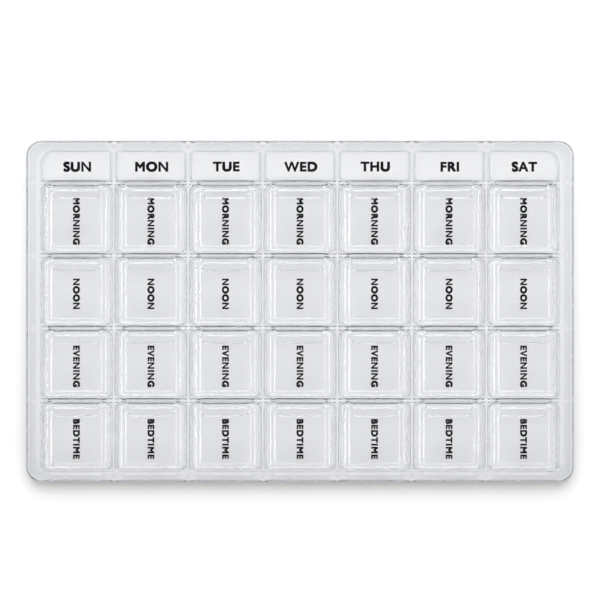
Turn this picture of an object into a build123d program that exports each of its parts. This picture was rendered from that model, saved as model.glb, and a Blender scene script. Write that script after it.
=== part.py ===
from build123d import *
import os

# Weekly pill organizer: one clear moulded case with a cup for each time of each day,
# and a clear lid over every cup that turns on its own moulded hinge barrel.
# Origin at the middle of the footprint, on the surface it stands on.
# +X runs from Sunday to Saturday, +Y towards the row of day labels, +Z up.

# Grid of cups
day_names = ["sunday", "monday", "tuesday", "wednesday", "thursday", "friday", "saturday"]
time_names = ["morning", "noon", "evening", "bedtime"]
column_pitch = 30.1
row_pitch = 29.3

# Outline, measured at the foot
side_margin = 5.65  # outer face to the middle of the wall beside the first cup
front_margin = 3.9  # outer face to the middle of the wall in front of the last row
label_depth = 12.7  # middle of the back hinge wall to the back edge of the label pads
back_margin = 4.8  # back edge of the label pads to the outer face
corner_radius = 6.5
case_height = 25.0
draft_angle = 1.0

# Walls
wall_thickness = 2.5  # dividers below the lids
rib_thickness = 1.2  # dividers between the lids
rib_edge_radius = 0.3
skirt_thickness = 1.0  # at the foot
deck_thickness = 1.5
floor_thickness = 1.5
foot_height = 0.8
rim_edge_radius = 1.6
frame_edge_radius = 0.35

# Cups
cup_corner_radius = 2.2
cup_floor_radius = 2.0
cup_gap = 1.6  # between the walls of neighbouring cups, at the foot
cup_outer_radius = 3.0

# Hollow underside, open below
hollow_height = 20.8
slot_height = 22.8  # roof of the narrow slots along the rim
slot_margin = 1.9  # outer face to the slots
side_slot_width = 2.5
end_slot_width = 1.9
slot_inner_radius = 6.0
slot_end_radius = 0.9
slot_gap = 6.0  # left solid behind and in front of each divider
rim_post_radius = 0.95
gate_hole_radius = 0.7

# Label pads
pad_recess = 1.5
pad_corner_radius = 1.2
pad_outer_radius = 5.2
pad_hollow_inset = 0.35
pad_wall_thickness = 0.8

# Hinges
hinge_drop = 1.2  # rim down to the hinge axis, which is level with the lid's top face
bead_radius = 0.95
barrel_radius = 1.05
barrel_length = 20.0
barrel_end_gap = 0.2
pin_radius = 0.5
pin_length = 1.2
pin_clearance = 0.08
pin_end_gap = 0.25
snap_slot_width = 0.8
finger_notch_depth = 0.6

# Lids
lid_thickness = 1.4
lid_side_gap = 0.85  # middle of the divider to the lid's side
lid_rear_gap = 1.05  # hinge axis to the lid's rear edge
lid_front_gap = 1.25  # lid's free edge to the axis of the hinge in front of it
lid_seat_gap = 0.12
lid_corner_radius = 1.6
lid_edge_radius = 0.4
lid_under_chamfer = 0.3
side_borders = [2.1, 3.8]  # lid's edge to each of the two steps down to the sunk panel
rear_borders = [1.1, 2.9]
front_borders = [0.9, 2.4]
step_depth = 0.35
step_run = 0.5
plug_depth = 1.6
plug_thickness = 0.9
plug_clearance = 0.25
tab_depth = 3.2  # hinge axis to the front edge of the raised tab behind the barrel
tab_height = 0.4
tongue_length = 18.6
tongue_depth = 5.8  # hinge axis to the tongue's front edge
tongue_corner_radius = 2.0
tab_corner = 1.7
slope_angle = 55  # of the raised and sunk edges, from upright

day_count = len(day_names)
time_count = len(time_names)
case_length = day_count * column_pitch + 2 * side_margin
case_width = front_margin + time_count * row_pitch + label_depth + back_margin
front_wall_y = front_margin - case_width / 2
back_wall_y = front_wall_y + time_count * row_pitch
label_back_y = back_wall_y + label_depth
column_x = [(i - (day_count - 1) / 2) * column_pitch for i in range(day_count)]
divider_x = [(i - (day_count - 2) / 2) * column_pitch for i in range(day_count - 1)]
hinge_y = [back_wall_y - i * row_pitch for i in range(time_count)]
hinge_height = case_height - hinge_drop
lid_bottom_height = hinge_height - lid_thickness
ledge_height = lid_bottom_height - lid_seat_gap
cup_floor_height = foot_height + floor_thickness
pad_height = case_height - pad_recess
field_length = day_count * column_pitch - rib_thickness
field_front_y = front_wall_y + bead_radius
field_back_y = back_wall_y + wall_thickness / 2
notch_length = barrel_length + 2 * barrel_end_gap
cup_places = [(x, y - row_pitch / 2) for x in column_x for y in hinge_y]
hinge_places = [(x, y) for x in column_x for y in hinge_y]


def cup_core():
    """The space of one cup, with a rounded floor that a finger can sweep a pill out of."""
    with BuildPart() as cup:
        with BuildSketch(Plane.XY.offset(ledge_height)):
            RectangleRounded(column_pitch - wall_thickness, row_pitch - wall_thickness, cup_corner_radius)
        extrude(amount=cup_floor_height - ledge_height, taper=draft_angle)
        fillet(cup.faces().sort_by(Axis.Z)[0].edges(), cup_floor_radius)
    return cup.part


def label_pad_outline(inset):
    """The seven label pads between their ribs; inset draws the same outlines smaller."""
    pad_length = column_pitch - wall_thickness - 2 * inset
    pad_front_y = back_wall_y + wall_thickness / 2 + inset
    pad_back_y = label_back_y - inset
    row_length = day_count * column_pitch - wall_thickness - 2 * inset
    with BuildSketch() as pads:
        for x in column_x:
            with Locations((x, (pad_front_y + pad_back_y) / 2)):
                RectangleRounded(pad_length, pad_back_y - pad_front_y, pad_corner_radius)
        with Locations((0, pad_back_y - case_width / 2)):
            RectangleRounded(row_length, case_width, pad_outer_radius, mode=Mode.INTERSECT)
    return pads.sketch


def underside_outline():
    """The space inside the skirt that the cups and the walls of the label pads stand in."""
    with BuildSketch() as space:
        RectangleRounded(
            case_length - 2 * skirt_thickness,
            case_width - 2 * skirt_thickness,
            corner_radius - skirt_thickness,
        )
        with Locations(*cup_places):
            RectangleRounded(column_pitch - cup_gap, row_pitch - cup_gap, cup_outer_radius, mode=Mode.SUBTRACT)
        add(label_pad_outline(pad_hollow_inset - pad_wall_thickness), mode=Mode.SUBTRACT)
    return space.sketch


def rim_slot_outline():
    """The slots in the roof under the rim.

    They part round a small hole behind and in front of each divider and round a post beside each row of hinges."""
    slot_middle = slot_margin + end_slot_width / 2 - case_width / 2
    post_x = case_length / 2 - slot_margin - side_slot_width / 2
    with BuildSketch() as slots:
        RectangleRounded(case_length - 2 * slot_margin, case_width - 2 * slot_margin, corner_radius - slot_margin)
        RectangleRounded(
            case_length - 2 * (slot_margin + side_slot_width),
            case_width - 2 * (slot_margin + end_slot_width),
            slot_inner_radius,
            mode=Mode.SUBTRACT,
        )
        with Locations(*[(x, 0) for x in divider_x]):
            Rectangle(slot_gap, case_width, mode=Mode.SUBTRACT)
        fillet([v for v in slots.vertices() if abs(v.X) < column_x[-1]], slot_end_radius)
        with Locations(*[(side * post_x, y) for side in (-1, 1) for y in hinge_y]):
            Circle(rim_post_radius, mode=Mode.SUBTRACT)
        with Locations(*[(x, side * slot_middle) for side in (-1, 1) for x in divider_x]):
            Circle(gate_hole_radius)
    return slots.sketch


# Case
cup = cup_core()
with BuildPart() as case:
    with BuildSketch():
        RectangleRounded(case_length, case_width, corner_radius)
    extrude(amount=case_height, taper=draft_angle)
    fillet(case.faces().sort_by(Axis.Z)[-1].edges(), rim_edge_radius)

    # Sunk field that the lids lie in, and the sunk label pads behind it
    with BuildSketch(Plane.XY.offset(case_height)):
        with Locations((0, (field_front_y + field_back_y) / 2)):
            Rectangle(field_length, field_back_y - field_front_y)
    extrude(amount=-hinge_drop, mode=Mode.SUBTRACT)
    with BuildSketch(Plane.XY.offset(case_height)):
        add(label_pad_outline(0))
    extrude(amount=-pad_recess, mode=Mode.SUBTRACT)
    top_face = case.faces().filter_by(Plane.XY).sort_by(Axis.Z)[-1]
    fillet([e for w in top_face.inner_wires() for e in w.edges()], frame_edge_radius)

    # Well for each lid, with the ledge it rests on
    with BuildSketch(Plane.XY.offset(ledge_height)):
        with Locations(*cup_places):
            RectangleRounded(column_pitch - rib_thickness, row_pitch - 2 * bead_radius, lid_corner_radius)
    extrude(amount=case_height - ledge_height, mode=Mode.SUBTRACT)

    # Ribs between the lids and round hinge beads behind them
    rib_height = hinge_height + bead_radius - ledge_height
    with BuildSketch(Plane.XZ.offset(-field_back_y)) as ribs:
        with Locations(*[(x, ledge_height + rib_height / 2) for x in divider_x]):
            Rectangle(rib_thickness, rib_height)
        fillet(ribs.vertices().group_by(Axis.Z)[-1], rib_edge_radius)
    extrude(amount=field_back_y - front_wall_y)
    with BuildSketch(Plane.YZ.offset(-field_length / 2)):
        with Locations(*[(y, hinge_height) for y in hinge_y]):
            Circle(bead_radius)
    extrude(amount=field_length)

    # Notches for the hinge barrels, with their pin holes and the slots the pins snap in through
    with BuildSketch(Plane.XY.offset(ledge_height)):
        with Locations(*hinge_places):
            Rectangle(notch_length, wall_thickness)
        with Locations(*[(x, front_wall_y + (bead_radius - finger_notch_depth) / 2) for x in column_x]):
            Rectangle(notch_length, bead_radius + finger_notch_depth)
    extrude(amount=case_height, mode=Mode.SUBTRACT)
    hole_reach = notch_length / 2 - barrel_end_gap + pin_length + pin_end_gap
    with BuildSketch(*[Plane.YZ.offset(x - hole_reach) for x in column_x]):
        for y in hinge_y:
            with Locations((y, hinge_height)):
                Circle(pin_radius + pin_clearance)
            with Locations((y, hinge_height + bead_radius)):
                Rectangle(snap_slot_width, 2 * bead_radius)
    extrude(amount=2 * hole_reach, mode=Mode.SUBTRACT)

    # Cups
    with Locations(*cup_places):
        add(cup, mode=Mode.SUBTRACT)

    # Underside: standing foot, hollow under the label pads, space round the cups, slots under the rim
    with BuildSketch():
        RectangleRounded(
            case_length - 2 * skirt_thickness,
            case_width - 2 * skirt_thickness,
            corner_radius - skirt_thickness,
        )
    extrude(amount=foot_height, mode=Mode.SUBTRACT)
    with BuildSketch():
        add(label_pad_outline(pad_hollow_inset))
    extrude(amount=pad_height - deck_thickness, mode=Mode.SUBTRACT)
    with BuildSketch():
        add(underside_outline())
    extrude(amount=hollow_height, taper=draft_angle, mode=Mode.SUBTRACT)
    with BuildSketch(Plane.XY.offset(hollow_height)):
        add(rim_slot_outline())
    extrude(amount=slot_height - hollow_height, mode=Mode.SUBTRACT)

# Lid, built over the cell whose hinge axis stands over the origin
lid_length = column_pitch - 2 * lid_side_gap
lid_front_y = lid_front_gap - row_pitch
lid_depth = -lid_rear_gap - lid_front_y
lid_middle_y = (-lid_rear_gap + lid_front_y) / 2
plug_length = column_pitch - wall_thickness - 2 * plug_clearance
plug_depth_y = row_pitch - wall_thickness - 2 * plug_clearance


def panel_outline(side_border, rear_border, front_border):
    """The lid's outline, drawn in from its edges by the given borders."""
    rear_y = -lid_rear_gap - rear_border
    front_y = lid_front_y + front_border
    with BuildSketch() as panel:
        with Locations((0, (rear_y + front_y) / 2)):
            Rectangle(lid_length - 2 * side_border, rear_y - front_y)
    return panel.sketch


with BuildPart() as lid:
    with BuildSketch(Plane.XY.offset(lid_bottom_height)):
        with Locations((0, lid_middle_y)):
            RectangleRounded(lid_length, lid_depth, lid_corner_radius)
    extrude(amount=lid_thickness)
    fillet(lid.faces().sort_by(Axis.Z)[-1].edges(), lid_edge_radius)
    chamfer(lid.faces().sort_by(Axis.Z)[0].edges(), lid_under_chamfer)

    # Panel, sunk in two steps with sloping sides, where the time of day is printed
    for i, borders in enumerate(zip(side_borders, rear_borders, front_borders)):
        step_top = hinge_height - i * step_depth
        with BuildSketch(Plane.XY.offset(step_top)):
            add(panel_outline(*borders))
        with BuildSketch(Plane.XY.offset(step_top - step_depth)):
            add(panel_outline(*[border + step_run for border in borders]))
        loft(ruled=True, mode=Mode.SUBTRACT)

    # Tongue that carries the first ledge on in front of the hinge tab
    ledge_start = lid_rear_gap + rear_borders[0] + step_run
    with BuildSketch(Plane.XY.offset(hinge_height - step_depth)):
        RectangleRounded(tongue_length, 2 * tongue_depth, tongue_corner_radius)
        with Locations((0, -(ledge_start + tongue_depth) / 2)):
            Rectangle(tongue_length, tongue_depth - ledge_start, mode=Mode.INTERSECT)
    extrude(amount=-step_depth, taper=-slope_angle)

    # Plug rim that drops into the mouth of the cup
    with BuildSketch(Plane.XY.offset(lid_bottom_height)):
        with Locations((0, -row_pitch / 2)):
            RectangleRounded(plug_length, plug_depth_y, cup_corner_radius - plug_clearance)
            RectangleRounded(
                plug_length - 2 * plug_thickness,
                plug_depth_y - 2 * plug_thickness,
                cup_corner_radius - plug_clearance - plug_thickness,
                mode=Mode.SUBTRACT,
            )
    extrude(amount=-plug_depth, taper=draft_angle)

    # Raised tab that carries the hinge barrel, the barrel and its two pins
    with BuildSketch(Plane.XY.offset(hinge_height)) as tab:
        RectangleRounded(barrel_length, 2 * tab_depth, tab_corner)
        with Locations((0, -tab_depth / 2)):
            Rectangle(barrel_length, tab_depth, mode=Mode.INTERSECT)
    extrude(amount=-barrel_radius)
    extrude(to_extrude=tab.sketch, amount=tab_height, taper=slope_angle)
    with BuildSketch(Plane.YZ.offset(-barrel_length / 2)):
        with Locations((0, hinge_height)):
            Circle(barrel_radius)
    extrude(amount=barrel_length)
    with BuildSketch(Plane.YZ.offset(-barrel_length / 2 - pin_length)):
        with Locations((0, hinge_height)):
            Circle(pin_radius)
    extrude(amount=barrel_length + 2 * pin_length)

os.makedirs("parts", exist_ok=True)
case.part.label = "case"
export_step(case.part, "parts/case.step")
for day, x in zip(day_names, column_x):
    for time, y in zip(time_names, hinge_y):
        placed_lid = lid.part.moved(Location((x, y, 0)))
        placed_lid.label = f"{day}_{time}_lid"
        export_step(placed_lid, f"parts/{placed_lid.label}.step")
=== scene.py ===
"""Looks of a clear weekly pill organizer: its case, its lids, the printed words and the stage."""

from math import radians

import bmesh
import bpy
from mathutils import Matrix, Vector


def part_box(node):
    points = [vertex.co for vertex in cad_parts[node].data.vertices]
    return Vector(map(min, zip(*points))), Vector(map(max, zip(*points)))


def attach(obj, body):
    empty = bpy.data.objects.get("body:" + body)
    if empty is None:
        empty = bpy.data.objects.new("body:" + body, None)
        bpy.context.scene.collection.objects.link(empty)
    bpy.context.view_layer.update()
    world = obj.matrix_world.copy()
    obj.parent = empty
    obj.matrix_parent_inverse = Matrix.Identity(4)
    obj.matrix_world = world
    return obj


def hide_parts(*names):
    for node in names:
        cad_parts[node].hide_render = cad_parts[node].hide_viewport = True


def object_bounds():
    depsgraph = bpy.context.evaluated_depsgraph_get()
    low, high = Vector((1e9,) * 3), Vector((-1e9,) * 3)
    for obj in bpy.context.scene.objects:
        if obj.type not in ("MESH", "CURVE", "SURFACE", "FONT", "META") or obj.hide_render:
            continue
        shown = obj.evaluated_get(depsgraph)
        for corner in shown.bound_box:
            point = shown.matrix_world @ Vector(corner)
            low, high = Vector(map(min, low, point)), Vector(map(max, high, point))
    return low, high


bl_info = {
    "name": "Clear pill organizer",
    "version": (1, 0, 0),
    "blender": (4, 5, 0),
    "location": "View3D > Sidebar > Organizer",
    "description": "Builds the clear case, the hinged lids and the printed words of a weekly pill organizer",
    "category": "Object",
}

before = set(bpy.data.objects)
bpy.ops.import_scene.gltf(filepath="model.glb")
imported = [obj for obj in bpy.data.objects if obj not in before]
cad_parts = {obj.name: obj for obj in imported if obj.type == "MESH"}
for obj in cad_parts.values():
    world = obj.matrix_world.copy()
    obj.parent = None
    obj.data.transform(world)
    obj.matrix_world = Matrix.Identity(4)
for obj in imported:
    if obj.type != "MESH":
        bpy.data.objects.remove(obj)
cad_low, cad_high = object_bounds()

MM = 0.001
DAYS = ("sunday", "monday", "tuesday", "wednesday", "thursday", "friday", "saturday")
TIMES = ("morning", "noon", "evening", "bedtime")
CASE = "case"
CLEAR_LAYERS = 48  # surfaces that light may cross in a straight line
BENT_LAYERS = 24  # surfaces that light may cross or be turned back by
HORIZON_COLOUR = (0.8, 0.8, 0.8, 1)
ZENITH_COLOUR = (0.45, 0.45, 0.46, 1)
SKY_GREYS = ((0.3, 0.9), (0.55, 1.0), (0.85, 1.0), (0.97, 0.6))  # rise, 1 being straight up, and grey
CLOUD_WAVES = 28  # per metre, in the tint of the plastic
CLOUD_SHADE = 0.992  # darkest tint, as a share of the full one
HAZE_WAVES = 160  # per metre, in the polish of the plastic
POLISH = (0.015, 0.05)  # roughness of the plastic where its polish is best and worst
FLOW_WAVES = 45  # per metre, in the level of the surface
FLOW_STRENGTH = 0.01
GRAIN_WAVES = 900  # per metre, in the ink
PAPER_WAVES = 40  # per metre, in the floor
PAPER_SHADE = 0.997  # darkest floor, as a share of its full colour
SEAM_REACH = 0.0005 * MM  # corners of a moulding closer than this are one
LEVEL_ANGLE = radians(0.05)  # faces that turn by less than this are one flat face
LARGE_FACES_FIRST = 100  # large faces set the shading of the small ones beside them
FLOOR_GAP = 0.02 * MM  # keeps the floor off the foot of the case
SENSOR_WIDTH = 36  # of the camera, in millimetres
NIB_SIDES = 8
CAPITAL_SHARE = 0.7  # height of a capital in this font, as a share of the font's size
WORD_INPUTS = (
    ("Text", "String"),
    ("Capital height", "Float"),
    ("Boldness", "Float"),
    ("Spacing", "Float"),
    ("Width", "Float"),
    ("Depth", "Float"),
    ("Ink", "Material"),
)


def lid_name(day, time):
    return f"{day}_{time}_lid"


def lid_middle(day, time):
    """Middle of one lid, seen from above, in metres."""
    low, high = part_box(lid_name(day, time))
    return (low[0] + high[0]) / 2, (low[1] + high[1]) / 2


class PlasticSettings(bpy.types.PropertyGroup):
    """Tints of the clear plastic, and how it passes light"""

    case_tint: bpy.props.FloatVectorProperty(
        name="Case tint", description="Colour of the clear plastic of the case",
        subtype="COLOR", size=3, min=0, max=1, default=(0.925, 0.93, 0.94),
    )
    lid_tint: bpy.props.FloatVectorProperty(
        name="Lid tint", description="Colour of the clear plastic of the lids",
        subtype="COLOR", size=3, min=0, max=1, default=(0.985, 0.988, 0.994),
    )
    light_bending: bpy.props.FloatProperty(
        name="Light bending", description="Index of refraction of the plastic", min=1, max=2, default=1.45,
    )
    depth_tint: bpy.props.FloatVectorProperty(
        name="Depth tint", description="Colour that light takes on inside the plastic",
        subtype="COLOR", size=3, min=0, max=1, default=(0.1, 0.18, 0.32),
    )
    case_density: bpy.props.FloatProperty(
        name="Case density", description="How fast light fades inside the case, per metre",
        min=0, default=8.0,
    )
    lid_density: bpy.props.FloatProperty(
        name="Lid density", description="How fast light fades inside the lids, per metre",
        min=0, default=3.0,
    )
    wall_share: bpy.props.FloatProperty(
        name="Wall share", description="Share of the light that a surface lets straight through",
        min=0, max=1, default=0.98,
    )
    front_share: bpy.props.FloatProperty(
        name="Front share", description="The same share at the foot of the skirt, at the front of the case",
        min=0, max=1, default=0.45,
    )
    back_share: bpy.props.FloatProperty(
        name="Back share", description="The same share at the foot of the skirt, at the back of the case",
        min=0, max=1, default=0.85,
    )
    foot_height: bpy.props.FloatProperty(
        name="Foot height", description="Height at which the skirt lets as much light through as a wall",
        unit="LENGTH", min=0, default=14 * MM,
    )
    outline_radius: bpy.props.FloatProperty(
        name="Outline radius", description="Corner radius of the case seen from above",
        unit="LENGTH", min=0, default=6.5 * MM,
    )
    skirt_reach: bpy.props.FloatProperty(
        name="Skirt reach", description="How far in from the outline the skirt reaches",
        unit="LENGTH", min=0, default=1.3 * MM,
    )
    # Painted shade: the settings below darken the rim's rounded outer edge. This stands in for the dark
    # outline that bent light and the contact shadow make along the case, where the plastic is as clear as
    # elsewhere.
    edge_reach: bpy.props.FloatProperty(
        name="Edge reach", description="How far in from the outline the dark edge of the rim reaches",
        unit="LENGTH", min=0, default=1.2 * MM,
    )
    edge_depth: bpy.props.FloatProperty(
        name="Edge depth", description="How far down from the top of the case the dark edge reaches",
        unit="LENGTH", min=0, default=1.8 * MM,
    )
    painted_edge_shade: bpy.props.FloatVectorProperty(
        name="Edge tint", description="Colour of the rounded outer edge of the rim",
        subtype="COLOR", size=3, min=0, max=1, default=(0.3, 0.32, 0.36),
    )
    slot_height: bpy.props.FloatProperty(
        name="Slot height", description="Height of the roofs of the slots under the rim",
        unit="LENGTH", default=22.8 * MM,
    )
    slot_reach: bpy.props.FloatProperty(
        name="Slot reach", description="How far above and below that height a slot's roof may lie",
        unit="LENGTH", min=0, default=0.04 * MM,
    )
    # Painted shade: the slot roofs are not frosted. This grey stands in for the shade that the slots and
    # walls under the rim make on the rim seen from above.
    slot_painted_shade: bpy.props.FloatVectorProperty(
        name="Slot tint", description="Colour of the slightly frosted roofs of the slots",
        subtype="COLOR", size=3, min=0, max=1, default=(0.78, 0.8, 0.84),
    )
    smooth_angle: bpy.props.FloatProperty(
        name="Smooth angle", description="Edges flatter than this are shaded round",
        subtype="ANGLE", min=0, max=radians(90), default=radians(32),
    )


class WordSettings(bpy.types.PropertyGroup):
    """Sizes and places of the printed words"""

    day_height: bpy.props.FloatProperty(
        name="Day height", description="Height of the capitals of the day words",
        unit="LENGTH", min=0.001, default=4.3 * MM,
    )
    day_place: bpy.props.FloatProperty(
        name="Day place", description="Middle of the day words, measured back from the first lids' hinges",
        unit="LENGTH", default=6.6 * MM,
    )
    day_shift: bpy.props.FloatProperty(
        name="Day shift", description="Middle of the day words, measured right from the middle of the lids",
        unit="LENGTH", default=0.3 * MM,
    )
    day_lift: bpy.props.FloatProperty(
        name="Day lift", description="Height of the label pads above the table",
        unit="LENGTH", default=23.5 * MM,
    )
    day_boldness: bpy.props.FloatProperty(
        name="Day boldness", description="Ink added on each side of the strokes of the day words",
        unit="LENGTH", min=0, default=0.35 * MM,
    )
    day_spacing: bpy.props.FloatProperty(
        name="Day spacing", description="Spacing of the letters of the day words", min=0, default=1.12,
    )
    day_width: bpy.props.FloatProperty(
        name="Day width", description="Stretch of the day words along their length", min=0.1, default=1.06,
    )
    time_height: bpy.props.FloatProperty(
        name="Time height", description="Height of the capitals of the time words",
        unit="LENGTH", min=0.001, default=2.95 * MM,
    )
    time_drop: bpy.props.FloatProperty(
        name="Time drop", description="Middle of the time words, measured forwards from the lids' middles",
        unit="LENGTH", default=1.95 * MM,
    )
    time_lift: bpy.props.FloatProperty(
        name="Time lift", description="Height of the sunk panel of a lid above the table",
        unit="LENGTH", default=23.1 * MM,
    )
    time_boldness: bpy.props.FloatProperty(
        name="Time boldness", description="Ink added on each side of the strokes of the time words",
        unit="LENGTH", min=0, default=0.28 * MM,
    )
    time_spacing: bpy.props.FloatProperty(
        name="Time spacing", description="Spacing of the letters of the time words", min=0, default=1.2,
    )
    time_width: bpy.props.FloatProperty(
        name="Time width", description="Stretch of the time words along their length", min=0.1, default=1.04,
    )
    barrel_reach: bpy.props.FloatProperty(
        name="Barrel reach", description="Hinge axis of a lid to the back of its barrel",
        unit="LENGTH", default=1.05 * MM,
    )
    ink_depth: bpy.props.FloatProperty(
        name="Ink depth", description="Thickness of the printed ink", unit="LENGTH", default=0.04 * MM,
    )
    ink_gap: bpy.props.FloatProperty(
        name="Ink gap", description="Hair's breadth between the ink and the plastic",
        unit="LENGTH", default=0.01 * MM,
    )
    ink_colour: bpy.props.FloatVectorProperty(
        name="Ink", description="Colour of the printed words",
        subtype="COLOR", size=3, min=0, max=1, default=(0.006, 0.006, 0.007),
    )


class StageSettings(bpy.types.PropertyGroup):
    """Floor, lamps and camera"""

    floor_size: bpy.props.FloatProperty(
        name="Floor size", description="Side of the pale floor", unit="LENGTH", default=14.0,
    )
    floor_colour: bpy.props.FloatVectorProperty(
        name="Floor", description="Colour of the floor", subtype="COLOR", size=3, min=0, max=1,
        default=(0.9, 0.9, 0.9),
    )
    sky_strength: bpy.props.FloatProperty(
        name="Sky strength", description="Strength of the even light from all sides", min=0, default=0.62,
    )
    key_power: bpy.props.FloatProperty(
        name="Key power", description="Power of the wide lamp above and behind the organizer",
        subtype="POWER", min=0, default=15.6,
    )
    key_back: bpy.props.FloatProperty(
        name="Key place", description="How far behind the organizer the wide lamp hangs",
        unit="LENGTH", default=0.5,
    )
    key_height: bpy.props.FloatProperty(
        name="Key height", description="Height of the wide lamp", unit="LENGTH", default=1.3,
    )
    key_length: bpy.props.FloatProperty(
        name="Key length", description="Length of the wide lamp", unit="LENGTH", min=0, default=0.9,
    )
    key_depth: bpy.props.FloatProperty(
        name="Key depth", description="Depth of the wide lamp", unit="LENGTH", min=0, default=0.5,
    )
    strip_power: bpy.props.FloatProperty(
        name="Strip power", description="Power of the narrow lamp at each side of the organizer",
        subtype="POWER", min=0, default=4.5,
    )
    strip_distance: bpy.props.FloatProperty(
        name="Strip distance", description="How far out the narrow lamps stand", unit="LENGTH", default=1.13,
    )
    strip_height: bpy.props.FloatProperty(
        name="Strip height", description="Height of the narrow lamps", unit="LENGTH", default=0.41,
    )
    strip_length: bpy.props.FloatProperty(
        name="Strip length", description="Length of the narrow lamps", unit="LENGTH", min=0, default=1.0,
    )
    strip_depth: bpy.props.FloatProperty(
        name="Strip depth", description="Depth of the narrow lamps", unit="LENGTH", min=0, default=0.2,
    )
    camera_height: bpy.props.FloatProperty(
        name="Camera height", description="Height of the camera above the table", unit="LENGTH", default=4.0,
    )
    picture_width: bpy.props.FloatProperty(
        name="Picture width", description="Width that the picture takes in at the rim of the case",
        unit="LENGTH", default=242.2 * MM,
    )
    camera_shift: bpy.props.FloatProperty(
        name="Camera place", description="How far behind the middle of the organizer the camera looks down",
        unit="LENGTH", default=4.58 * MM,
    )


def new_material(name):
    material = bpy.data.materials.new(name)
    material.use_nodes = True
    nodes = material.node_tree.nodes
    return material, nodes, material.node_tree.links, nodes["Principled BSDF"]


def noise_on_object(nodes, links, scale, detail):
    """Noise that stays with the piece, in the object's own coordinates; scale is in waves per metre."""
    place = nodes.new("ShaderNodeTexCoord")
    noise = nodes.new("ShaderNodeTexNoise")
    noise.inputs["Scale"].default_value = scale
    noise.inputs["Detail"].default_value = detail
    links.new(place.outputs["Object"], noise.inputs["Vector"])
    return noise.outputs["Fac"]


def spread(nodes, links, value, low, high, start=0.0, end=1.0):
    """Maps a value from between start and end to between low and high."""
    span = nodes.new("ShaderNodeMapRange")
    span.inputs["From Min"].default_value = start
    span.inputs["From Max"].default_value = end
    span.inputs["To Min"].default_value = low
    span.inputs["To Max"].default_value = high
    links.new(value, span.inputs["Value"])
    return span.outputs["Result"]


def blend(nodes, links, share, first, second):
    """Mix of two colours, each of them a socket or three numbers."""
    mix = nodes.new("ShaderNodeMix")
    mix.data_type = "RGBA"
    links.new(share, mix.inputs["Factor"])
    for socket, colour in ((mix.inputs["A"], first), (mix.inputs["B"], second)):
        if isinstance(colour, bpy.types.NodeSocket):
            links.new(colour, socket)
        else:
            socket.default_value = (*colour, 1)
    return mix.outputs["Result"]


def calculate(nodes, links, operation, first, second):
    """Result of one calculation on two values, each of them a socket or a number."""
    step = nodes.new("ShaderNodeMath")
    step.operation = operation
    for socket, value in zip(step.inputs, (first, second)):
        if isinstance(value, bpy.types.NodeSocket):
            links.new(value, socket)
        else:
            socket.default_value = value
    return step.outputs["Value"]


def object_axis(nodes, links, axis):
    """Place on one axis, in the object's own coordinates."""
    place = nodes.new("ShaderNodeTexCoord")
    axes = nodes.new("ShaderNodeSeparateXYZ")
    links.new(place.outputs["Object"], axes.inputs["Vector"])
    return axes.outputs[axis]


def clear_plastic(name, tint, density, painted_shade_heights, plastic):
    """Clear moulded polystyrene: faintly tinted, polished, with slow flow waves in its surface."""
    material, nodes, links, shader = new_material(name)
    shader.inputs["Transmission Weight"].default_value = 1.0
    shader.inputs["IOR"].default_value = plastic.light_bending
    cloud = noise_on_object(nodes, links, scale=CLOUD_WAVES, detail=2)
    colour = blend(nodes, links, cloud, [c * CLOUD_SHADE for c in tint], tint)
    # Painted shade on the rim's rounded outer edge, in place of the dark outline that bent light makes there
    colour = blend(nodes, links, rim_edge_shade_mask(nodes, links, plastic), colour, plastic.painted_edge_shade)
    # Painted shade on the faces at these heights, the roofs of the slots under the rim
    for height in painted_shade_heights:
        roof = at_height(nodes, links, height, plastic.slot_reach)
        colour = blend(nodes, links, roof, colour, plastic.slot_painted_shade)
    links.new(colour, shader.inputs["Base Color"])
    haze = noise_on_object(nodes, links, scale=HAZE_WAVES, detail=4)
    links.new(spread(nodes, links, haze, *POLISH), shader.inputs["Roughness"])
    waves = noise_on_object(nodes, links, scale=FLOW_WAVES, detail=1)
    bump = nodes.new("ShaderNodeBump")
    bump.inputs["Strength"].default_value = FLOW_STRENGTH
    bump.inputs["Distance"].default_value = 1 * MM
    links.new(waves, bump.inputs["Height"])
    links.new(bump.outputs["Normal"], shader.inputs["Normal"])
    let_lamps_through(nodes, links, shader, light_share(nodes, links, plastic))
    darken_with_depth(nodes, links, plastic.depth_tint, density)
    return material


def near_outline(nodes, links, radius, reach):
    """1 within reach of the outline of the case seen from above, and 0 further in."""
    value = nodes.new("ShaderNodeTexCoord").outputs["Object"]
    above_everything = 1.0  # leaves height out of the distance
    corner = (cad_high[0] - radius, cad_high[1] - radius, above_everything)
    steps = (("ABSOLUTE", None), ("SUBTRACT", corner), ("MAXIMUM", (0, 0, 0)), ("LENGTH", None))
    for operation, other in steps:
        step = nodes.new("ShaderNodeVectorMath")
        step.operation = operation
        links.new(value, step.inputs[0])
        if other is not None:
            step.inputs[1].default_value = other
        value = step.outputs["Value" if operation == "LENGTH" else "Vector"]
    return calculate(nodes, links, "GREATER_THAN", value, radius - reach)


def rim_edge_shade_mask(nodes, links, plastic):
    """1 on the rounded outer edge of the rim, where the painted edge shade goes, and 0 elsewhere."""
    height = object_axis(nodes, links, "Z")
    high = calculate(nodes, links, "GREATER_THAN", height, cad_high[2] - plastic.edge_depth)
    near = near_outline(nodes, links, plastic.outline_radius, plastic.edge_reach)
    return calculate(nodes, links, "MULTIPLY", high, near)


def at_height(nodes, links, height, reach):
    """1 on the faces within reach of this height, and 0 elsewhere."""
    place = object_axis(nodes, links, "Z")
    above = calculate(nodes, links, "GREATER_THAN", place, height - reach)
    below = calculate(nodes, links, "LESS_THAN", place, height + reach)
    return calculate(nodes, links, "MULTIPLY", above, below)


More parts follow.
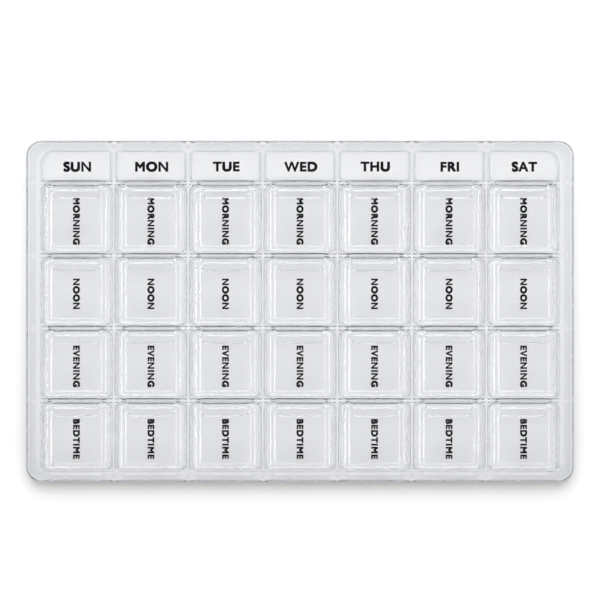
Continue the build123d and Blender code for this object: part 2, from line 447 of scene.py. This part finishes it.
def light_share(nodes, links, plastic):
    """Share of the light that a surface lets straight through: least at the foot of the skirt's front."""
    foot = spread(
        nodes, links, object_axis(nodes, links, "Y"),
        low=plastic.front_share, high=plastic.back_share, start=cad_low[1], end=cad_high[1],
    )
    rise = spread(
        nodes, links, object_axis(nodes, links, "Z"),
        low=0, high=1, start=cad_low[2], end=cad_low[2] + plastic.foot_height,
    )
    wall = [plastic.wall_share] * 3
    skirt = blend(nodes, links, rise, foot, wall)
    near = near_outline(nodes, links, plastic.outline_radius, plastic.skirt_reach)
    return blend(nodes, links, near, wall, skirt)


def let_lamps_through(nodes, links, shader, share):
    """Lets a share of the light of lamps and sky straight through, so that what lies below is lit."""
    path = nodes.new("ShaderNodeLightPath").outputs
    lighting = calculate(nodes, links, "MAXIMUM", path["Is Shadow Ray"], path["Is Diffuse Ray"])
    clear = nodes.new("ShaderNodeBsdfTransparent")
    links.new(share, clear.inputs["Color"])
    either = nodes.new("ShaderNodeMixShader")
    links.new(lighting, either.inputs["Fac"])
    links.new(shader.outputs["BSDF"], either.inputs[1])
    links.new(clear.outputs["BSDF"], either.inputs[2])
    links.new(either.outputs["Shader"], nodes["Material Output"].inputs["Surface"])


def darken_with_depth(nodes, links, colour, density):
    """Plastic that light crosses for longer, such as a wall seen along its height, looks darker."""
    body = nodes.new("ShaderNodeVolumeAbsorption")
    body.inputs["Color"].default_value = (*colour, 1)
    body.inputs["Density"].default_value = density
    links.new(body.outputs["Volume"], nodes["Material Output"].inputs["Volume"])


def printed_ink(colour):
    """Black screen-printed ink, dry and slightly uneven."""
    material, nodes, links, shader = new_material("printed_ink")
    grain = noise_on_object(nodes, links, scale=GRAIN_WAVES, detail=3)
    links.new(blend(nodes, links, grain, colour, [c * 2 for c in colour]), shader.inputs["Base Color"])
    links.new(spread(nodes, links, grain, low=0.55, high=0.7), shader.inputs["Roughness"])
    shader.inputs["Specular IOR Level"].default_value = 0.05
    bump = nodes.new("ShaderNodeBump")
    bump.inputs["Strength"].default_value = 0.1
    bump.inputs["Distance"].default_value = 0.02 * MM
    links.new(grain, bump.inputs["Height"])
    links.new(bump.outputs["Normal"], shader.inputs["Normal"])
    return material


def link_piece(name, mesh):
    piece = bpy.data.objects.new(name, mesh)
    bpy.context.scene.collection.objects.link(piece)
    return piece


def baked_mesh(piece):
    """The piece as its modifiers leave it, as a plain mesh."""
    graph = bpy.context.evaluated_depsgraph_get()
    graph.update()
    return bpy.data.meshes.new_from_object(piece.evaluated_get(graph), depsgraph=graph)


def polished_copy(node, piece_name, material, smooth_angle):
    """A copy of a moulding with its seams merged and its rounded edges shaded smooth."""
    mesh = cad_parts[node].data.copy()
    mesh.name = piece_name
    # The normals that come with the file smooth the small steps away
    if mesh.has_custom_normals:
        mesh.attributes.remove(mesh.attributes["custom_normal"])
    work = bmesh.new()
    work.from_mesh(mesh)
    bmesh.ops.remove_doubles(work, verts=work.verts, dist=SEAM_REACH)
    bmesh.ops.dissolve_limit(work, angle_limit=LEVEL_ANGLE, verts=work.verts, edges=work.edges)
    work.to_mesh(mesh)
    work.free()
    mesh.materials.clear()
    mesh.materials.append(material)
    mesh.shade_smooth()
    mesh.set_sharp_from_angle(angle=smooth_angle)
    piece = link_piece(piece_name, mesh)
    weights = piece.modifiers.new("Flat faces stay flat", "WEIGHTED_NORMAL")
    weights.keep_sharp = True
    weights.weight = LARGE_FACES_FIRST
    piece.data = baked_mesh(piece)
    piece.modifiers.clear()
    return piece


def word_tree():
    """Geometry nodes that print one word: bold letters, evenly spaced, thin, centred on the origin."""
    tree = bpy.data.node_groups.new("printed_word", "GeometryNodeTree")
    for name, kind in WORD_INPUTS:
        tree.interface.new_socket(name=name, in_out="INPUT", socket_type=f"NodeSocket{kind}")
    tree.interface.new_socket(name="Word", in_out="OUTPUT", socket_type="NodeSocketGeometry")
    nodes, links = tree.nodes, tree.links
    given = nodes.new("NodeGroupInput").outputs

    def node(kind, **settings):
        """A node of this kind with these settings."""
        made = nodes.new(kind)
        for key, value in settings.items():
            setattr(made, key, value)
        return made

    def then(made, geometry, socket="Geometry"):
        """What comes out of the node when this geometry goes in."""
        links.new(geometry, made.inputs[socket])
        return made.outputs[0]

    letters = node("GeometryNodeStringToCurves", align_x="CENTER")
    links.new(given["Text"], letters.inputs["String"])
    links.new(given["Spacing"], letters.inputs["Character Spacing"])
    ink_width = calculate(nodes, links, "MULTIPLY", given["Boldness"], 2.0)
    thin_height = calculate(nodes, links, "SUBTRACT", given["Capital height"], ink_width)
    links.new(calculate(nodes, links, "DIVIDE", thin_height, CAPITAL_SHARE), letters.inputs["Size"])
    outline = then(node("GeometryNodeRealizeInstances"), letters.outputs["Curve Instances"])
    nib = node("GeometryNodeCurvePrimitiveCircle")
    nib.inputs["Resolution"].default_value = NIB_SIDES
    links.new(given["Boldness"], nib.inputs["Radius"])
    strokes = node("GeometryNodeCurveToMesh")
    links.new(nib.outputs["Curve"], strokes.inputs["Profile Curve"])
    edges = then(strokes, outline, "Curve")

    flat = then(node("GeometryNodeFillCurve"), outline, "Curve")
    raised = node("GeometryNodeExtrudeMesh", mode="FACES")
    raised.inputs["Individual"].default_value = False
    links.new(given["Boldness"], raised.inputs["Offset Scale"])
    faces = node("GeometryNodeJoinGeometry")
    links.new(then(raised, flat, "Mesh"), faces.inputs["Geometry"])
    links.new(then(node("GeometryNodeFlipFaces"), flat, "Mesh"), faces.inputs["Geometry"])
    merged = node("GeometryNodeMergeByDistance")
    merged.inputs["Distance"].default_value = 0.0001 * MM
    both = node("GeometryNodeJoinGeometry")
    links.new(then(merged, faces.outputs["Geometry"]), both.inputs["Geometry"])
    links.new(edges, both.inputs["Geometry"])

    stretch = node("ShaderNodeCombineXYZ")
    links.new(given["Width"], stretch.inputs["X"])
    stretch.inputs["Y"].default_value = 1
    links.new(calculate(nodes, links, "DIVIDE", given["Depth"], ink_width), stretch.inputs["Z"])
    pressed = node("GeometryNodeTransform")
    links.new(stretch.outputs["Vector"], pressed.inputs["Scale"])
    solid = then(pressed, both.outputs["Geometry"])
    bounds = node("GeometryNodeBoundBox")
    links.new(solid, bounds.inputs["Geometry"])
    ends = node("ShaderNodeVectorMath", operation="ADD")
    links.new(bounds.outputs["Min"], ends.inputs[0])
    links.new(bounds.outputs["Max"], ends.inputs[1])
    back_to_origin = node("ShaderNodeVectorMath", operation="SCALE")
    back_to_origin.inputs["Scale"].default_value = -0.5
    links.new(ends.outputs["Vector"], back_to_origin.inputs[0])
    centred = node("GeometryNodeTransform")
    links.new(back_to_origin.outputs["Vector"], centred.inputs["Translation"])
    solid = then(centred, solid)
    solid = then(node("GeometryNodeRealizeInstances"), solid)
    inked = node("GeometryNodeSetMaterial")
    links.new(given["Ink"], inked.inputs["Material"])
    links.new(then(inked, solid), nodes.new("NodeGroupOutput").inputs["Word"])
    return tree


def word_mesh(tree, name, **values):
    """One word of the tree as a plain mesh."""
    piece = bpy.data.objects.new(name, bpy.data.meshes.new(name))
    printer = piece.modifiers.new("Printed word", "NODES")
    printer.node_group = tree
    for item in tree.interface.items_tree:
        key = item.name.lower().replace(" ", "_")
        if item.in_out == "INPUT":
            printer[item.identifier] = values[key]
    bpy.context.scene.collection.objects.link(piece)
    mesh = baked_mesh(piece)
    bpy.data.objects.remove(piece)
    mesh.name = name
    mesh.materials.clear()
    mesh.materials.append(values["ink"])
    return mesh


class ORGANIZER_OT_case(bpy.types.Operator):
    """Dresses the case in clear plastic"""

    bl_idname = "organizer.case"
    bl_label = "Case"

    def execute(self, context):
        plastic = context.scene.organizer_plastic
        material = clear_plastic(
            "case_plastic", plastic.case_tint, plastic.case_density,
            painted_shade_heights=[plastic.slot_height], plastic=plastic,
        )
        piece = polished_copy(CASE, "clear_case", material, plastic.smooth_angle)
        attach(piece, CASE)
        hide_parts(CASE)
        return {"FINISHED"}


class ORGANIZER_OT_lids(bpy.types.Operator):
    """Dresses the lids in clear plastic, each on its own hinge"""

    bl_idname = "organizer.lids"
    bl_label = "Lids"

    def execute(self, context):
        plastic = context.scene.organizer_plastic
        material = clear_plastic(
            "lid_plastic", plastic.lid_tint, plastic.lid_density,
            painted_shade_heights=[], plastic=plastic,
        )
        for day in DAYS:
            for time in TIMES:
                node = lid_name(day, time)
                piece = polished_copy(node, f"clear_{node}", material, plastic.smooth_angle)
                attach(piece, node)
                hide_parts(node)
        return {"FINISHED"}


class ORGANIZER_OT_words(bpy.types.Operator):
    """Prints the days on the case and the times of day on the lids"""

    bl_idname = "organizer.words"
    bl_label = "Words"

    def execute(self, context):
        words = context.scene.organizer_words
        ink = printed_ink(words.ink_colour)
        tree = word_tree()
        lid_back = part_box(lid_name(DAYS[0], TIMES[0]))[1][1]
        hinge_y = lid_back - words.barrel_reach
        for day in DAYS:
            name = f"{day}_word"
            mesh = word_mesh(
                tree, name, text=day[:3].upper(),
                capital_height=words.day_height, boldness=words.day_boldness,
                spacing=words.day_spacing, width=words.day_width, depth=words.ink_depth, ink=ink,
            )
            x = lid_middle(day, TIMES[0])[0] + words.day_shift
            place = (x, hinge_y + words.day_place, words.day_lift + words.ink_gap + words.ink_depth / 2)
            mesh.transform(Matrix.Translation(place))
            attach(link_piece(name, mesh), CASE)
            for time in TIMES:
                name = f"{day}_{time}_word"
                mesh = word_mesh(
                    tree, name, text=time.upper(),
                    capital_height=words.time_height, boldness=words.time_boldness,
                    spacing=words.time_spacing, width=words.time_width, depth=words.ink_depth, ink=ink,
                )
                x, y = lid_middle(day, time)
                place = (x, y - words.time_drop, words.time_lift + words.ink_gap + words.ink_depth / 2)
                mesh.transform(Matrix.Translation(place) @ Matrix.Rotation(radians(-90), 4, "Z"))
                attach(link_piece(name, mesh), lid_name(day, time))
        return {"FINISHED"}


def light_the_sky(tree, strength):
    """Even light from all sides: brightest at a steep slant, and dimmer overhead and at the horizon."""
    nodes, links = tree.nodes, tree.links
    direction = nodes.new("ShaderNodeTexCoord")
    axes = nodes.new("ShaderNodeSeparateXYZ")
    links.new(direction.outputs["Generated"], axes.inputs["Vector"])
    height = nodes.new("ShaderNodeValToRGB")
    links.new(axes.outputs["Z"], height.inputs["Fac"])
    ramp = height.color_ramp
    ramp.elements[0].position = 0.0
    ramp.elements[0].color = HORIZON_COLOUR
    ramp.elements[1].position = 1.0
    ramp.elements[1].color = ZENITH_COLOUR
    for place, grey in SKY_GREYS:
        ramp.elements.new(place).color = (grey, grey, grey, 1)
    sky = nodes["Background"]
    links.new(height.outputs["Color"], sky.inputs["Color"])
    sky.inputs["Strength"].default_value = strength


def add_lamp(name, place, power, size, lights_table):
    """A lamp that faces the middle of the table, and either lights it or only makes glints in the plastic."""
    lamp = bpy.data.lights.new(name, "AREA")
    lamp.shape = "RECTANGLE"
    lamp.size, lamp.size_y = size
    lamp.energy = power
    holder = bpy.data.objects.new(name, lamp)
    holder.location = place
    holder.rotation_euler = Vector(place).to_track_quat("Z", "Y").to_euler()
    holder.visible_diffuse = lights_table
    holder.visible_glossy = not lights_table
    holder.visible_transmission = not lights_table
    bpy.context.scene.collection.objects.link(holder)


class ORGANIZER_OT_stage(bpy.types.Operator):
    """Sets the pale floor, the soft light and the camera overhead"""

    bl_idname = "organizer.stage"
    bl_label = "Stage"

    def execute(self, context):
        stage = context.scene.organizer_stage
        half = stage.floor_size / 2
        level = -FLOOR_GAP
        mesh = bpy.data.meshes.new("floor")
        mesh.from_pydata(
            [(-half, -half, level), (half, -half, level), (half, half, level), (-half, half, level)],
            [], [(0, 1, 2, 3)],
        )
        material, nodes, links, shader = new_material("floor_paper")
        shader.inputs["Roughness"].default_value = 0.9
        shader.inputs["Specular IOR Level"].default_value = 0.1
        grain = noise_on_object(nodes, links, scale=PAPER_WAVES, detail=2)
        shade = [c * PAPER_SHADE for c in stage.floor_colour]
        links.new(blend(nodes, links, grain, stage.floor_colour, shade), shader.inputs["Base Color"])
        mesh.materials.append(material)
        link_piece("floor", mesh)

        world = bpy.data.worlds.new("soft_sky")
        context.scene.world = world
        world.use_nodes = True
        light_the_sky(world.node_tree, stage.sky_strength)
        cycles = context.scene.cycles
        cycles.caustics_refractive = False
        cycles.caustics_reflective = False
        cycles.transparent_max_bounces = CLEAR_LAYERS
        cycles.max_bounces = BENT_LAYERS
        cycles.transmission_bounces = BENT_LAYERS

        key_place = (0, stage.key_back, stage.key_height)
        add_lamp("key_lamp", key_place, stage.key_power, (stage.key_length, stage.key_depth), True)
        out, high = stage.strip_distance, stage.strip_height
        strips = (  # name, place, and brightness against the others
            ("east_strip", (out, 0, high), 1.3),
            ("west_strip", (-out, 0, high), 0.8),
            ("north_strip", (0, out, high), 1.0),
            ("south_strip", (0, -out, high), 1.0),
        )
        for name, place, gain in strips:
            add_lamp(name, place, stage.strip_power * gain, (stage.strip_length, stage.strip_depth), False)

        optics = bpy.data.cameras.new("overhead_camera")
        optics.sensor_width = SENSOR_WIDTH
        optics.lens = optics.sensor_width * (stage.camera_height - cad_high[2]) / stage.picture_width
        optics.clip_start = 0.1
        optics.clip_end = 50
        camera = bpy.data.objects.new("overhead_camera", optics)
        camera.location = (0, stage.camera_shift, stage.camera_height)
        context.scene.collection.objects.link(camera)
        context.scene.camera = camera
        context.scene.view_settings.view_transform = "Standard"
        return {"FINISHED"}


class ORGANIZER_PT_panel(bpy.types.Panel):
    """Lists the pieces of the organizer and their settings"""

    bl_idname = "ORGANIZER_PT_panel"
    bl_label = "Pill organizer"
    bl_space_type = "VIEW_3D"
    bl_region_type = "UI"
    bl_category = "Organizer"

    def draw(self, context):
        for group_name in SETTINGS:
            group = getattr(context.scene, group_name)
            box = self.layout.box()
            for name in group.bl_rna.properties.keys():
                if name not in ("rna_type", "name"):
                    box.prop(group, name)
        for operator in PIECES:
            self.layout.operator(operator.bl_idname)


PIECES = (ORGANIZER_OT_case, ORGANIZER_OT_lids, ORGANIZER_OT_words, ORGANIZER_OT_stage)
SETTINGS = {
    "organizer_plastic": PlasticSettings,
    "organizer_words": WordSettings,
    "organizer_stage": StageSettings,
}


def register():
    for group in SETTINGS.values():
        bpy.utils.register_class(group)
    for name, group in SETTINGS.items():
        setattr(bpy.types.Scene, name, bpy.props.PointerProperty(type=group))
    for operator in PIECES:
        bpy.utils.register_class(operator)
    bpy.utils.register_class(ORGANIZER_PT_panel)


def unregister():
    bpy.utils.unregister_class(ORGANIZER_PT_panel)
    for operator in reversed(PIECES):
        bpy.utils.unregister_class(operator)
    for name, group in SETTINGS.items():
        delattr(bpy.types.Scene, name)
        bpy.utils.unregister_class(group)


def main():
    register()
    bpy.ops.organizer.case()
    bpy.ops.organizer.lids()
    bpy.ops.organizer.words()
    bpy.ops.organizer.stage()


if __name__ == "__main__":
    main()
